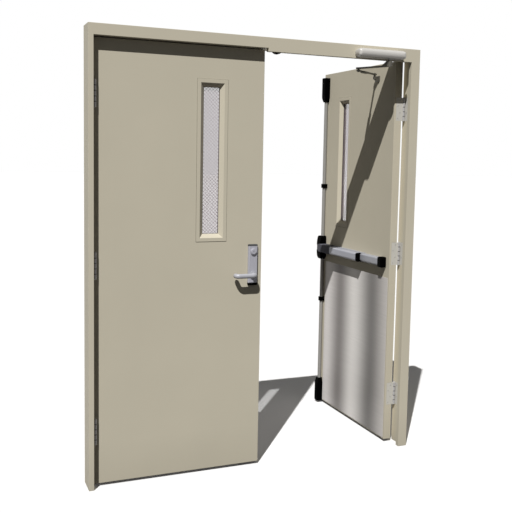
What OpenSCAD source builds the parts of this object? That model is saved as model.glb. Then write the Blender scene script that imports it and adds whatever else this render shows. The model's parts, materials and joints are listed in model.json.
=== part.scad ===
// Pair of hollow-metal fire doors in a pressed-steel double-egress frame.
// The two leaves swing opposite ways, so the assembly repeats itself under a
// half turn about the upright line through the middle of the opening.
// Origin: wall face of the left jamb, floor level, middle of the frame's depth.
// +X runs along the frame to the right, +Y to the back, +Z up.
// The left leaf is drawn closed and the right leaf open.

/* [Door leaves] */
// Width of one leaf
leaf_w = 857; // [760:1:1070]
// Height of a leaf
leaf_h = 2134; // [2000:1:2440]
// Thickness of a leaf
leaf_t = 44.5; // [44:0.5:50]
// Angle at which the right leaf stands open
open_right = 90; // [0:1:105]
// Clear height under the leaves
undercut = 16; // [10:1:19]
// Clearance at the hinge edges and the heads
edge_gap = 5; // [5:0.5:8]
// Clearance where the two leaves meet
meeting_gap = 7; // [7:0.5:10]

/* [Frame] */
// Depth of the frame from front face to back face
frame_d = 118; // [115:1:160]
// Width of a jamb's face on the side the leaf swings to
jamb_face = 25; // [24:1:60]
// Height of the header's face on the side the leaf swings to
head_face = 53; // [45:1:100]
// How far the stop stands out from a jamb
jamb_stop = 27; // [16:1:35]
// How far the stop hangs below the header
head_stop = 17; // [14:1:25]
// Set-back of a leaf behind the face it swings to
recess = 40; // [36:1:44]
// Thickness of the frame's steel
sheet = 2; // [1.5:0.1:2.5]

/* [Hinges] */
// Height of a hinge
hinge_h = 127; // [102:1:152]
// Radius of the knuckles
knuckle_r = 7.5; // [6:0.5:8]
// Height of the lowest hinge above the leaf's bottom edge
hinge_low = 265; // [200:1:300]
// Drop of the highest hinge below the leaf's top edge
hinge_drop = 259; // [200:1:300]

/* [Vision lite] */
// Width over the lite's frame
lite_w = 162; // [120:1:200]
// Height over the lite's frame
lite_h = 805; // [600:1:900]
// Width of the flat band of the lite's frame
lite_flange = 21.5; // [18:0.5:26]
// Width of the splay inside the band
lite_splay = 15.5; // [10:0.5:18]
// Depth of the splay, where the straight return to the glass begins
lite_splay_d = 8; // [5:0.5:12]
// How far the lite's frame stands proud of the leaf
lite_proud = 4; // [3:0.5:5]
// Distance from the hinge edge to the middle of the lite
lite_u = 584; // [500:1:590]
// Height of the middle of the lite above the leaf's bottom edge
lite_z = 1572; // [1500:1:1600]

/* [Exit device] */
// Height of the rail above the leaf's bottom edge
bar_z = 1018; // [960:1:1050]
// Height of the rail
rail_h = 54; // [50:1:60]
// How far the touch bar stands out from the leaf
rail_out = 60; // [56:1:64]
// How far the rail stands out between the touch bar and the end cap
rail_d = 35; // [32:1:40]
// How far the touch bar moves when it is pushed
bar_travel = 12; // [8:1:12]
// Distance of the vertical rods from the leaf's free edge
rod_inset = 48; // [44:1:52]
// Radius of the vertical rods
rod_r = 11; // [8:0.5:11]
// Height of the black case that the rods run into
case_h = 152; // [140:1:170]
// Height of a latch's cover
latch_h = 153; // [140:1:165]

/* [Lever trim] */
// Width of the escutcheon
esc_w = 50; // [46:1:60]
// Height of the escutcheon
esc_h = 211; // [190:1:230]
// Reach of the lever from its neck to its outer end
lever_l = 111; // [100:1:125]
// Radius of the lever's round bar
lever_r = 12; // [9:0.5:12]

/* [Closer] */
// Length of a closer's body
closer_l = 288; // [260:1:300]
// Distance from the hinge pin to the shoe's pivot along the leaf
shoe_reach = 185; // [165:1:200]
// Distance from the hinge pin to the closer's spindle along the header
spindle_reach = 173; // [165:1:185]

/* [Armour plate] */
// Height of the armour plate
plate_h = 925; // [800:1:940]

/* [Hidden] */
$fn = 48;
frame_w = 2 * (jamb_face + edge_gap + leaf_w) + meeting_gap;
leaf_top = undercut + leaf_h;
frame_h = leaf_top + edge_gap + head_face;
leaf_x = jamb_face + edge_gap;
leaf_y = -frame_d / 2 + recess;
stop_gap = 6.5;
stop_y = leaf_y + leaf_t + stop_gap;
soffit_z = frame_h - head_face - head_stop;

// Hinge pin, from the leaf's hinge edge and from its pull face
pin_u = 4;
pin_off = 16;
pin_x = leaf_x + pin_u;
pin_y = leaf_y - pin_off;
pin_r = 4;
hinge_plate = 2.4;
hinge_wide = 38;
hinge_zs = [hinge_low, (hinge_low + leaf_h - hinge_drop) / 2, leaf_h - hinge_drop];

// Closer linkage: spindle, elbow and shoe make a parallelogram with the pin
shoe_off = 23;
shoe_v = leaf_t + shoe_off;
spindle_off = 26;
spindle_x = pin_x + spindle_reach;
spindle_y = frame_d / 2 + spindle_off;
elbow_dx = shoe_reach;
elbow_dy = pin_off + shoe_v;
arm_len = norm([elbow_dx, elbow_dy]);
arm_ang = atan2(elbow_dy, elbow_dx);
fore_dx = spindle_reach;
fore_dy = spindle_y - pin_y;
fore_len = norm([fore_dx, fore_dy]);
fore_ang = atan2(fore_dy, fore_dx);
closer_h = 46;
closer_d = 55;
closer_z = soffit_z + 4;
arm_t = 8;
arm_z = soffit_z - 35;
fore_z = arm_z - arm_t - 5;

// Exit device, in leaf coordinates
rod_u = leaf_w - rod_inset;
rod_off = rod_r + 3;
rod_v = leaf_t + rod_off;
case_w = 52;
case_d = 47;
bulge_r = 240;
latch_w = 48;
latch_d = 37;
latch_top_gap = 26;
band_h = 50;
band_reach = 153;
case_u = rod_u - case_w / 2;
band_u = case_u - band_reach;
band_slope = 0.18;
cover_r = 760;
cover_end = 12;
rail_u0 = 33;
cap_l = 42;
cap_lap = 3;
ring_u = 272;
ring_l = 15;
bar_top_r = 9;
bar_low_r = 14;
bar_gap = 5;
channel_d = 24;
channel_wall = 2.5;

// Glass
glass_t = 6;

// Half turn that carries every left piece to its right twin
module twin() {
    translate([frame_w, 0, 0]) rotate([0, 0, 180]) children();
}

// Turns a piece about the left hinge pin, opening towards the front
module swing(angle) {
    translate([pin_x, pin_y, 0]) rotate([0, 0, -angle]) translate([-pin_x, -pin_y, 0]) children();
}

// Leaf coordinates: u from the hinge edge, v from the pull face, z from the bottom
module on_leaf() {
    translate([leaf_x, leaf_y, undercut]) children();
}

module left_leaf() {
    on_leaf() children();
}

module right_leaf() {
    twin() swing(open_right) on_leaf() children();
}

// ---- Frame ----

module jamb_outline() {
    polygon([
        [0, -frame_d / 2],
        [jamb_face, -frame_d / 2],
        [jamb_face, stop_y],
        [jamb_face + jamb_stop, stop_y],
        [jamb_face + jamb_stop, frame_d / 2],
        [0, frame_d / 2]
    ]);
}

module jamb_hollow() {
    polygon([
        [sheet, -frame_d / 2 + sheet],
        [jamb_face - sheet, -frame_d / 2 + sheet],
        [jamb_face - sheet, stop_y + sheet],
        [jamb_face + jamb_stop - sheet, stop_y + sheet],
        [jamb_face + jamb_stop - sheet, frame_d / 2 - sheet],
        [sheet, frame_d / 2 - sheet]
    ]);
}

module jamb() {
    color("#b5ae9a") difference() {
        union() {
            linear_extrude(frame_h) difference() {
                jamb_outline();
                jamb_hollow();
            }
            translate([0, 0, frame_h - sheet]) linear_extrude(sheet) jamb_outline();
            for (z = hinge_zs)
                translate([jamb_face - hinge_plate - 4, pin_y - 6, undercut + z - hinge_h / 2 - 20])
                    cube([4 + hinge_plate - sheet, hinge_wide + 12, hinge_h + 40]);
        }
        for (z = hinge_zs)
            translate([jamb_face - hinge_plate, pin_y, undercut + z - hinge_h / 2])
                cube([hinge_plate + 1, hinge_wide, hinge_h]);
    }
}

module head_outline() {
    polygon([
        [-frame_d / 2, frame_h],
        [-frame_d / 2, frame_h - head_face],
        [stop_y, frame_h - head_face],
        [stop_y, soffit_z],
        [frame_d / 2, soffit_z],
        [frame_d / 2, frame_h]
    ]);
}

module head_hollow() {
    polygon([
        [-frame_d / 2 + sheet, frame_h - sheet],
        [-frame_d / 2 + sheet, frame_h - head_face + sheet],
        [stop_y + sheet, frame_h - head_face + sheet],
        [stop_y + sheet, soffit_z + sheet],
        [frame_d / 2 - sheet, soffit_z + sheet],
        [frame_d / 2 - sheet, frame_h - sheet]
    ]);
}

// Runs a section drawn in Y and Z along X
module along_x(length) {
    rotate([90, 0, 90]) linear_extrude(length) children();
}

module head_half() {
    difference() {
        translate([jamb_face, 0, 0]) along_x(frame_w / 2 - jamb_face) head_outline();
        translate([jamb_face - 1, 0, 0]) along_x(frame_w / 2 - jamb_face - sheet + 1) head_hollow();
        linear_extrude(frame_h + 1) jamb_outline();
    }
}

module header() {
    color("#b5ae9a") {
        head_half();
        twin() head_half();
    }
}

// ---- Hinges ----

knuckle_n = 5;
knuckle_h = hinge_h / knuckle_n;
knuckle_play = 0.4;
knuckle_gap = 0.8;

module knuckles(first) {
    for (i = [first:2:knuckle_n - 1])
        translate([pin_x, pin_y, i * knuckle_h + knuckle_play / 2])
            cylinder(h = knuckle_h - knuckle_play, r = knuckle_r);
}

module hinge_frame_plate() {
    difference() {
        union() {
            translate([jamb_face - hinge_plate, pin_y, 0]) cube([hinge_plate, hinge_wide, hinge_h]);
            for (i = [0:2:knuckle_n - 1])
                translate([jamb_face - hinge_plate, pin_y, i * knuckle_h + knuckle_play / 2])
                    cube([pin_x - jamb_face + hinge_plate, hinge_plate, knuckle_h - knuckle_play]);
            knuckles(0);
        }
        translate([pin_x, pin_y, -1]) cylinder(h = hinge_h + 2, r = pin_r);
    }
}

module hinge_door_plate() {
    reach = pin_off - knuckle_r - knuckle_gap;
    difference() {
        union() {
            translate([leaf_x, leaf_y - reach, 0]) cube([hinge_plate, reach + hinge_wide - 4, hinge_h]);
            for (i = [1:2:knuckle_n - 1])
                translate([leaf_x, pin_y, i * knuckle_h + knuckle_play / 2])
                    cube([hinge_plate, pin_off, knuckle_h - knuckle_play]);
            knuckles(1);
        }
        translate([pin_x, pin_y, -1]) cylinder(h = hinge_h + 2, r = pin_r + 0.2);
    }
}

module hinge_pin() {
    translate([pin_x, pin_y, -1]) cylinder(h = hinge_h + 2, r = pin_r);
    translate([pin_x, pin_y, hinge_h]) cylinder(h = 3, r = pin_r + 2);
    translate([pin_x, pin_y, -3]) cylinder(h = 3, r = pin_r + 2);
}

module at_hinges() {
    for (z = hinge_zs) translate([0, 0, undercut + z - hinge_h / 2]) children();
}

module frame_plates() {
    at_hinges() hinge_frame_plate();
}

module pins() {
    at_hinges() hinge_pin();
}

module door_plates() {
    color("#8e8a80") at_hinges() hinge_door_plate();
}

module hinge_frame_plates() {
    color("#8e8a80") {
        frame_plates();
        twin() frame_plates();
    }
}

module hinge_pins() {
    color("#8e8a80") {
        pins();
        twin() pins();
    }
}

// ---- Leaf ----

lite_band = lite_flange + lite_splay;
cut_w = lite_w - 2 * lite_flange + 2;
cut_h = lite_h - 2 * lite_flange + 2;
hole_w = lite_w - 2 * lite_band;
hole_h = lite_h - 2 * lite_band;

module slab() {
    color("#b5ae9a") difference() {
        cube([leaf_w, leaf_t, leaf_h]);
        translate([lite_u - cut_w / 2, -1, lite_z - cut_h / 2]) cube([cut_w, leaf_t + 2, cut_h]);
        for (z = hinge_zs)
            translate([-1, -1, z - hinge_h / 2]) cube([hinge_plate + 1, hinge_wide - 3, hinge_h]);
    }
}

// Block w by h whose four sides slope in by cut over its depth d
module sloped_block(w, h, d, cut) {
    intersection() {
        translate([0, 0, -h / 2]) linear_extrude(h)
            polygon([[-w / 2, 0], [w / 2, 0], [w / 2 - cut, -d], [-w / 2 + cut, -d]]);
        translate([-w / 2, 0, 0]) rotate([90, 0, 90]) linear_extrude(w)
            polygon([[0, -h / 2], [0, h / 2], [-d, h / 2 - cut], [-d, -h / 2 + cut]]);
    }
}

collar_d = (leaf_t - glass_t) / 2;
splay_slope = lite_splay / lite_splay_d;

// Opening that is splayed from one past the band's front, then straight to the glass
module lite_opening() {
    grow = 2 * splay_slope * (lite_splay_d + 1);
    translate([0, -lite_proud - 1, 0]) mirror([0, 1, 0])
        sloped_block(hole_w + grow, hole_h + grow, lite_splay_d + 1, splay_slope * (lite_splay_d + 1));
    translate([-hole_w / 2, -lite_proud + 1, -hole_h / 2]) cube([hole_w, collar_d + lite_proud, hole_h]);
}

// One side's frame round the glass, standing proud of the pull face
module lite_frame() {
    difference() {
        union() {
            sloped_block(lite_w, lite_h, lite_proud, 1.5);
            translate([1 - cut_w / 2, 0, 1 - cut_h / 2]) cube([cut_w - 2, collar_d, cut_h - 2]);
        }
        lite_opening();
    }
}

module lite_frames() {
    color("#b5ae9a") translate([lite_u, 0, lite_z]) {
        lite_frame();
        translate([0, leaf_t, 0]) mirror([0, 1, 0]) lite_frame();
    }
}

module lite_glass() {
    color("#c3bdbf") translate([lite_u - cut_w / 2 + 4, collar_d, lite_z - cut_h / 2 + 4])
        cube([cut_w - 8, glass_t, cut_h - 8]);
}

// ---- Rounded covers ----

// Outline w wide from the origin up to h, with corner radii low and high
module rounded(w, h, low, high) {
    translate([-w / 2, low]) square([w, h - low - high]);
    translate([low - w / 2, 0]) square([w - 2 * low, h / 2]);
    translate([high - w / 2, h / 2]) square([w - 2 * high, h / 2]);
    for (side = [-1, 1]) {
        translate([side * (w / 2 - low), low]) circle(low);
        translate([side * (w / 2 - high), h - high]) circle(high);
    }
}

// Cover standing out by d towards -Y: its corners are rounded by low and high
// from the front and from the side, and by edge in plan
module cover(w, h, d, low, high, edge) {
    intersection() {
        rotate([90, 0, 0]) linear_extrude(d) rounded(w, h, low, high);
        translate([0, -d, 0]) linear_extrude(h) rounded(w, 2 * d, edge, edge);
        translate([-w / 2, 0, 0]) rotate([90, 0, 90]) linear_extrude(w) rounded(2 * d, h, low, high);
    }
}

// The same cover on the push side
module push_cover(w, h, d, low, high, edge) {
    translate([0, leaf_t, 0]) mirror([0, 1, 0]) cover(w, h, d, low, high, edge);
}

// ---- Lever trim on the pull side ----

esc_t = 15;
esc_u = leaf_w - 50;
esc_z = 1047;
cylinder_z = 1116;
lever_z = 996;
lever_out = 60;
lever_bend = 15;
lever_tip = 18;
lever_gap = 0.4;

module escutcheon() {
    color("#a09fa6") difference() {
        union() {
            translate([esc_u, 0, esc_z - esc_h / 2]) cover(esc_w, esc_h, esc_t, 6, 6, 6);
            translate([esc_u, -esc_t + 1, cylinder_z]) rotate([90, 0, 0]) cylinder(h = 8, r = 16);
            translate([esc_u, -esc_t - 6, cylinder_z]) rotate([90, 0, 0]) cylinder(h = 3, r = 13);
        }
        translate([esc_u - 1, -esc_t - 10, cylinder_z - 4]) cube([2, 8, 8]);
    }
}

// Quarter bend of the lever's bar, starting along +X and turning to +Y
module lever_elbow() {
    rotate_extrude(angle = 90) translate([lever_bend, 0]) circle(lever_r);
}

module lever() {
    straight = lever_out - lever_bend;
    tip_u = esc_u - lever_l + lever_r;
    color("#8e8c88") {
        translate([esc_u, -esc_t - lever_gap, lever_z]) rotate([90, 0, 0]) cylinder(h = 7, r = 19);
        translate([esc_u, -esc_t - lever_gap, lever_z]) rotate([90, 0, 0])
            cylinder(h = straight - esc_t - lever_gap, r = lever_r);
        translate([esc_u - lever_bend, -straight, lever_z]) rotate([0, 0, -90]) lever_elbow();
        translate([tip_u + lever_bend, -lever_out, lever_z]) rotate([0, 90, 0])
            cylinder(h = esc_u - tip_u - 2 * lever_bend, r = lever_r);
        translate([tip_u + lever_bend, -straight, lever_z]) rotate([0, 0, 180]) lever_elbow();
        translate([tip_u, -straight, lever_z]) rotate([-90, 0, 0])
            cylinder(h = straight - lever_tip - lever_r, r = lever_r);
        translate([tip_u, -lever_tip - lever_r, lever_z]) sphere(lever_r);
    }
}

// ---- Exit device on the push side ----

// Runs a section drawn in V and Z along U on the push side, at the rail's height
module along_u(start, length) {
    translate([start, leaf_t, bar_z]) rotate([90, 0, 90]) linear_extrude(length) children();
}

// Section high by 2 x half, from the leaf out to d, its front edges rounded by low and high
module rail_section(half, d, low, high) {
    intersection() {
        translate([0, -half]) rounded(2 * d, 2 * half, low, high);
        translate([0, -half]) square([d, 2 * half]);
    }
}

module rod_hole(z, length, play) {
    translate([rod_u, rod_v, z]) cylinder(h = length, r = rod_r + play);
}

// Front outline of the chassis cover up to end: level to the case, then narrowing over it
module band_outline(end) {
    half = band_h / 2;
    end_half = half - band_slope * (end - case_u);
    polygon([
        [band_u, -half],
        [case_u, -half],
        [end, -end_half],
        [end, end_half],
        [case_u, half],
        [band_u, half]
    ]);
}

// Lays an outline drawn in U and Z over the leaf's push face, d thick
module over_leaf(d) {
    translate([0, leaf_t + d, bar_z]) rotate([90, 0, 0]) linear_extrude(d) children();
}

// Covers over the rods' ends, above and below the chassis cover
module exit_case() {
    color("#1a1a1a") difference() {
        intersection() {
            translate([rod_u, 0, bar_z - case_h / 2]) push_cover(case_w, case_h, case_d, 24, 14, 11);
            translate([rod_u - case_w / 2, leaf_t + case_d - bulge_r, bar_z])
                rotate([0, 90, 0]) cylinder(h = case_w, r = bulge_r);
        }
        over_leaf(case_d) band_outline(rod_u + case_w);
        rod_hole(bar_z + case_h / 2 - 30, 31, 1);
        rod_hole(bar_z - case_h / 2 - 1, 31, 1);
    }
}

// Cover from the case to the touch bar, drawn in towards the leaf's free edge
module chassis_cover() {
    length = band_reach + case_w - 3;
    out = rail_out - 1;
    end_u = band_u + length - cover_end;
    color("#4b4b50") intersection() {
        along_u(band_u, length) rail_section(band_h / 2, out, 5, 5);
        translate([band_u + 60, leaf_t + out - cover_r, bar_z - band_h / 2])
            cylinder(h = band_h, r = cover_r, $fn = 360);
        over_leaf(out) band_outline(band_u + length);
        translate([0, 0, bar_z - band_h / 2]) linear_extrude(band_h) {
            translate([band_u, leaf_t]) square([length - cover_end, out]);
            translate([band_u, leaf_t]) square([length, out - 2 * cover_end]);
            translate([end_u, leaf_t + out - 2 * cover_end]) circle(cover_end);
        }
    }
}

// Channel behind the touch bar, and the rail from it to the end cap
module exit_rail() {
    half = rail_h / 2;
    cap_end = rail_u0 + cap_l;
    inner = half - channel_wall;
    color("#9a9aa0") {
        difference() {
            along_u(ring_u, band_u - ring_u) rail_section(half, channel_d, 1, 1);
            along_u(ring_u - 1, band_u - ring_u + 2)
                translate([channel_wall + 0.5, -inner]) square([channel_d, 2 * inner]);
        }
        along_u(cap_end, ring_u - cap_end) rail_section(half - cap_lap, rail_d, bar_low_r, bar_top_r);
    }
}

// Bar that slides in the channel, between the ring and the chassis cover
module touch_bar() {
    start = ring_u + ring_l + bar_gap;
    length = band_u - bar_gap - start;
    back = channel_wall + 0.5 + bar_travel + 5;
    half = rail_h / 2 - channel_wall - 0.5;
    color("#a2a2a8") along_u(start, length) intersection() {
        rail_section(half, rail_out, bar_low_r, bar_top_r);
        translate([back, -half]) square([rail_out, 2 * half]);
    }
}

// End cap over the rail, and the ring that closes the channel beside the touch bar
module rail_caps() {
    half = rail_h / 2;
    cap_h = rail_h + 2 * cap_lap;
    color("#1a1a1a") {
        translate([rail_u0 + cap_l / 2, 0, bar_z - cap_h / 2])
            push_cover(cap_l, cap_h, rail_d + cap_lap, 9, 9, 8);
        along_u(ring_u, ring_l) intersection() {
            rail_section(half - 1, rail_out + 1, bar_low_r, bar_top_r);
            translate([channel_d, -half]) square([rail_out, rail_h]);
        }
    }
}

latch_top_z = leaf_h - latch_top_gap - latch_h;
latch_low_z = -4;
latch_thin = 27;
latch_slope = 62;
latch_neck = 30;
latch_end_w = 28;
latch_r = 7;

// Outline w wide from the origin up to h, with its two upper corners rounded by r
module round_top(w, h, r) {
    translate([-w / 2, 0]) square([w, h - r]);
    translate([r - w / 2, 0]) square([w - 2 * r, h]);
    for (side = [-1, 1]) translate([side * (w / 2 - r), h - r]) circle(r);
}

// Front outline of a latch's cover, narrowing to the rod at its lower end
module latch_front() {
    polygon([
        [-latch_end_w / 2, 0],
        [latch_end_w / 2, 0],
        [latch_w / 2, latch_neck],
        [-latch_w / 2, latch_neck]
    ]);
    translate([0, latch_neck]) round_top(latch_w, latch_h - latch_neck, latch_r);
}

// Side outline of a latch's cover, thinning to the rod at its lower end
module latch_side() {
    drop = latch_d - latch_thin;
    arc_r = (latch_slope * latch_slope + drop * drop) / (2 * drop);
    intersection() {
        union() {
            translate([0, latch_slope]) round_top(2 * latch_d, latch_h - latch_slope, latch_r);
            translate([latch_d - arc_r, latch_slope]) circle(arc_r);
        }
        square([latch_d, latch_h]);
    }
}

// The top latch's cover narrows towards the rod, and the bottom one is the same turned over
module latch_cover() {
    translate([0, leaf_t, 0]) intersection() {
        translate([0, latch_d, 0]) rotate([90, 0, 0]) linear_extrude(latch_d) latch_front();
        translate([0, -latch_d, 0]) linear_extrude(latch_h) rounded(latch_w, 2 * latch_d, 9, 9);
        translate([-latch_w / 2, 0, 0]) rotate([90, 0, 90]) linear_extrude(latch_w) latch_side();
    }
}

module latches() {
    color("#1a1a1a") {
        difference() {
            translate([rod_u, 0, latch_top_z]) latch_cover();
            rod_hole(latch_top_z - 1, 36, 1);
        }
        difference() {
            translate([rod_u, 0, latch_low_z + latch_h]) mirror([0, 0, 1]) latch_cover();
            rod_hole(latch_low_z + latch_h - 35, 36, 1);
        }
    }
}

module top_rod() {
    low = bar_z + case_h / 2 - 12;
    high = latch_top_z + 17;
    color("#8e8c88") rod_span(low, high);
}

module bottom_rod() {
    low = latch_low_z + latch_h - 17;
    high = bar_z - case_h / 2 + 12;
    color("#8e8c88") rod_span(low, high);
}

module rod_span(low, high) {
    translate([rod_u, rod_v, low]) cylinder(h = high - low, r = rod_r);
}

module rods() {
    top_rod();
    bottom_rod();
}

guide_h = 26;
guide_zs = [1405, 665];

module rod_guides() {
    color("#1a1a1a") for (z = guide_zs) difference() {
        union() {
            translate([rod_u - 21, leaf_t, z]) cube([42, 4, guide_h]);
            translate([rod_u, 0, z]) push_cover(2 * rod_r + 10, guide_h, 2 * rod_r + 8, 2, 2, 9);
        }
        rod_hole(z - 1, guide_h + 2, 0.3);
    }
}

module armour_plate() {
    edge = 10;
    color("#cdc8c4") translate([edge, leaf_t, 6])
        cube([rod_u - latch_w / 2 - 2 - edge, 1.3, plate_h]);
}

// ---- Closer ----

spindle_in = 92;
spindle_r = 7;
collar_r = 11;
collar_h = 4;
hub_r = 14;

module closer_body() {
    color("#e0ddd8") {
        translate([spindle_x - spindle_in + closer_l / 2, frame_d / 2, closer_z])
            mirror([0, 1, 0]) cover(closer_l, closer_h, closer_d, 22, 22, 20);
        translate([spindle_x, spindle_y, arm_z - 2])
            cylinder(h = closer_z - arm_z + 4, r = spindle_r);
        translate([spindle_x, spindle_y, closer_z - collar_h])
            cylinder(h = collar_h + 2, r = collar_r);
    }
}

// Bar with round ends from the origin along X
module link(length, r, w) {
    cylinder(h = arm_t, r = r);
    translate([length, 0, 0]) cylinder(h = arm_t, r = r);
    translate([0, -w / 2, 0]) cube([length, w, arm_t]);
}

// Web from the arm's hub down to the arm, 12 thick
module hub_web() {
    translate([0, 6, 0]) rotate([90, 0, 0]) linear_extrude(12) polygon([
        [0, 0],
        [45, 0],
        [45, arm_t],
        [hub_r, closer_z - arm_z - collar_h - 3],
        [0, closer_z - arm_z - collar_h - 3]
    ]);
}

module closer_arm() {
    color("#6a6462") translate([spindle_x, spindle_y, arm_z]) rotate([0, 0, arm_ang]) {
        difference() {
            union() {
                link(arm_len, hub_r, 20);
                cylinder(h = closer_z - arm_z - collar_h - 3, r = hub_r);
                hub_web();
            }
            translate([0, 0, -1]) cylinder(h = closer_z - arm_z, r = spindle_r + 0.3);
        }
        translate([arm_len, 0, fore_z - arm_z - 3]) cylinder(h = arm_z - fore_z + 4, r = 6);
    }
}

// The forearm is two lapped bars with a clamp where they overlap
module closer_forearm() {
    color("#6a6462")
        translate([spindle_x + elbow_dx, spindle_y + elbow_dy, fore_z])
            rotate([0, 0, fore_ang + 180]) difference() {
                union() {
                    link(fore_len, 12, 14);
                    translate([0.22 * fore_len, -11, -3]) cube([0.3 * fore_len, 22, arm_t + 3]);
                }
                translate([0, 0, -1]) cylinder(h = arm_t + 2, r = 6.3);
                translate([fore_len, 0, -1]) cylinder(h = arm_t + 2, r = 7);
            }
}

shoe_w = 44;
shoe_h = 42;

module closer_shoe() {
    base_z = fore_z - undercut - shoe_h + 4;
    color("#6a6462") translate([pin_u + shoe_reach, 0, 0]) {
        translate([0, 0, base_z]) push_cover(shoe_w, shoe_h - 8, 6, 12, 3, 2);
        translate([-6, leaf_t, base_z]) rotate([90, 0, 90]) linear_extrude(12) polygon([
            [0, 0],
            [8, 0],
            [shoe_off + 6, shoe_h - 26],
            [shoe_off + 6, shoe_h - 12],
            [0, shoe_h - 12]
        ]);
        translate([0, shoe_v, base_z + shoe_h - 26]) cylinder(h = 14, r = 9);
        translate([0, shoe_v, base_z + shoe_h - 14]) cylinder(h = arm_t + 14, r = 6);
    }
}

// ---- Strikes under the header ----

strike_w = 44;
strike_h = 9;
strike_d = 18;

// Bump under the stop, over the top latch: a flat arc w wide and h high
module strike() {
    arc_r = (strike_w * strike_w / 4 + strike_h * strike_h) / (2 * strike_h);
    translate([leaf_x + rod_u, leaf_y + rod_v + strike_d / 2, soffit_z]) rotate([90, 0, 0]) intersection() {
        translate([0, arc_r - strike_h, 0]) cylinder(h = strike_d, r = arc_r);
        translate([-strike_w / 2, -strike_h, 0]) cube([strike_w, strike_h, strike_d]);
    }
}

module top_strikes() {
    color("#1a1a1a") {
        strike();
        twin() strike();
    }
}

// The arm turns with the leaf about the spindle
module arm_at(angle) {
    translate([spindle_x, spindle_y, 0]) rotate([0, 0, -angle])
        translate([-spindle_x, -spindle_y, 0]) children();
}

// The forearm keeps its direction and is carried by the elbow
module forearm_at(angle) {
    start = [arm_len * cos(arm_ang), arm_len * sin(arm_ang), 0];
    end = [arm_len * cos(arm_ang - angle), arm_len * sin(arm_ang - angle), 0];
    translate(end - start) children();
}

jamb();  // left_jamb
twin() jamb();  // right_jamb
header();
hinge_frame_plates();
hinge_pins();
closer_body();  // left_closer_body
twin() closer_body();  // right_closer_body
top_strikes();
left_leaf() slab();  // left_slab
door_plates();  // left_hinge_door_plates
left_leaf() lite_frames();  // left_lite_frames
left_leaf() lite_glass();  // left_lite_glass
left_leaf() escutcheon();  // left_escutcheon
left_leaf() lever();  // left_lever
left_leaf() exit_case();  // left_exit_case
left_leaf() chassis_cover();  // left_chassis_cover
left_leaf() exit_rail();  // left_exit_rail
left_leaf() touch_bar();  // left_touch_bar
left_leaf() rail_caps();  // left_rail_caps
left_leaf() latches();  // left_latches
left_leaf() rods();  // left_rods
left_leaf() rod_guides();  // left_rod_guides
left_leaf() armour_plate();  // left_armour_plate
left_leaf() closer_shoe();  // left_closer_shoe
closer_arm();  // left_closer_arm
closer_forearm();  // left_closer_forearm
right_leaf() slab();  // right_slab
twin() swing(open_right) door_plates();  // right_hinge_door_plates
right_leaf() lite_frames();  // right_lite_frames
right_leaf() lite_glass();  // right_lite_glass
right_leaf() escutcheon();  // right_escutcheon
right_leaf() lever();  // right_lever
right_leaf() exit_case();  // right_exit_case
right_leaf() chassis_cover();  // right_chassis_cover
right_leaf() exit_rail();  // right_exit_rail
right_leaf() touch_bar();  // right_touch_bar
right_leaf() rail_caps();  // right_rail_caps
right_leaf() latches();  // right_latches
right_leaf() top_rod();  // right_top_rod
right_leaf() bottom_rod();  // right_bottom_rod
right_leaf() rod_guides();  // right_rod_guides
right_leaf() armour_plate();  // right_armour_plate
right_leaf() closer_shoe();  // right_closer_shoe
twin() arm_at(open_right) closer_arm();  // right_closer_arm
twin() forearm_at(open_right) closer_forearm();  // right_closer_forearm
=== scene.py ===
import json
import math

import bmesh
import bpy
from mathutils import Matrix, Vector


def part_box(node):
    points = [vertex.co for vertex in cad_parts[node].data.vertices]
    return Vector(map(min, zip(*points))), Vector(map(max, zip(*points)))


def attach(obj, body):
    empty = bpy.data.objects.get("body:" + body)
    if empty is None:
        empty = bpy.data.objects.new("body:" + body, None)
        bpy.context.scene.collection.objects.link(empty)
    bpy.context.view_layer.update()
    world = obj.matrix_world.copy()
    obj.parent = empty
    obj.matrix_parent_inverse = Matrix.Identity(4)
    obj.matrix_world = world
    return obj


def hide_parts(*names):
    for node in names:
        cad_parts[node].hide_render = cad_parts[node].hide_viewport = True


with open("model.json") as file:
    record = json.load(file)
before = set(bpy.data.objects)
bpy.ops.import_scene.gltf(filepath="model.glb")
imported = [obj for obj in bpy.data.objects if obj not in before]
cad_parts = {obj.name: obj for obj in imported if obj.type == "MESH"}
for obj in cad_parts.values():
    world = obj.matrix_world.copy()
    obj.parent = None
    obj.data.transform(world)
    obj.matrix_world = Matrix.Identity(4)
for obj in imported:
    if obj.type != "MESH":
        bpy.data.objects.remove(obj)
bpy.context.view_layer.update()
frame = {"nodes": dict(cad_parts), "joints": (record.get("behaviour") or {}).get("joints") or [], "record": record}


# ---- Pressed-steel frame ----
# Two jambs and a header folded from 2 mm steel sheet. The corners are welded and
# ground flush, and the whole is baked with one coat of satin beige enamel.

FRAME_BEIGE = "#b8b19f"
FRAME_FOLD = 0.0012
DUST = "#8f8878"
DUST_TOP = 0.22
WELD = 1e-5
FLAT = math.radians(1)


def linear(colour, shade=1.0):
    """An sRGB hex colour as the linear RGBA that a socket takes, multiplied by shade."""
    parts = [int(colour[i:i + 2], 16) / 255 for i in (1, 3, 5)]
    light = [p / 12.92 if p <= 0.04045 else ((p + 0.055) / 1.055) ** 2.4 for p in parts]
    return [shade * p for p in light] + [1.0]


def add(tree, kind, inputs, **settings):
    """A new node of that kind, with its settings, its inputs given values or linked."""
    node = tree.nodes.new(kind)
    for name, value in settings.items():
        setattr(node, name, value)
    for name, value in inputs.items():
        if isinstance(value, bpy.types.NodeSocket):
            tree.links.new(value, node.inputs[name])
        else:
            node.inputs[name].default_value = value
    return node


def per_mm(size):
    """The scale at which a pattern's features are that many millimetres across."""
    return 1000 / size


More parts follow.
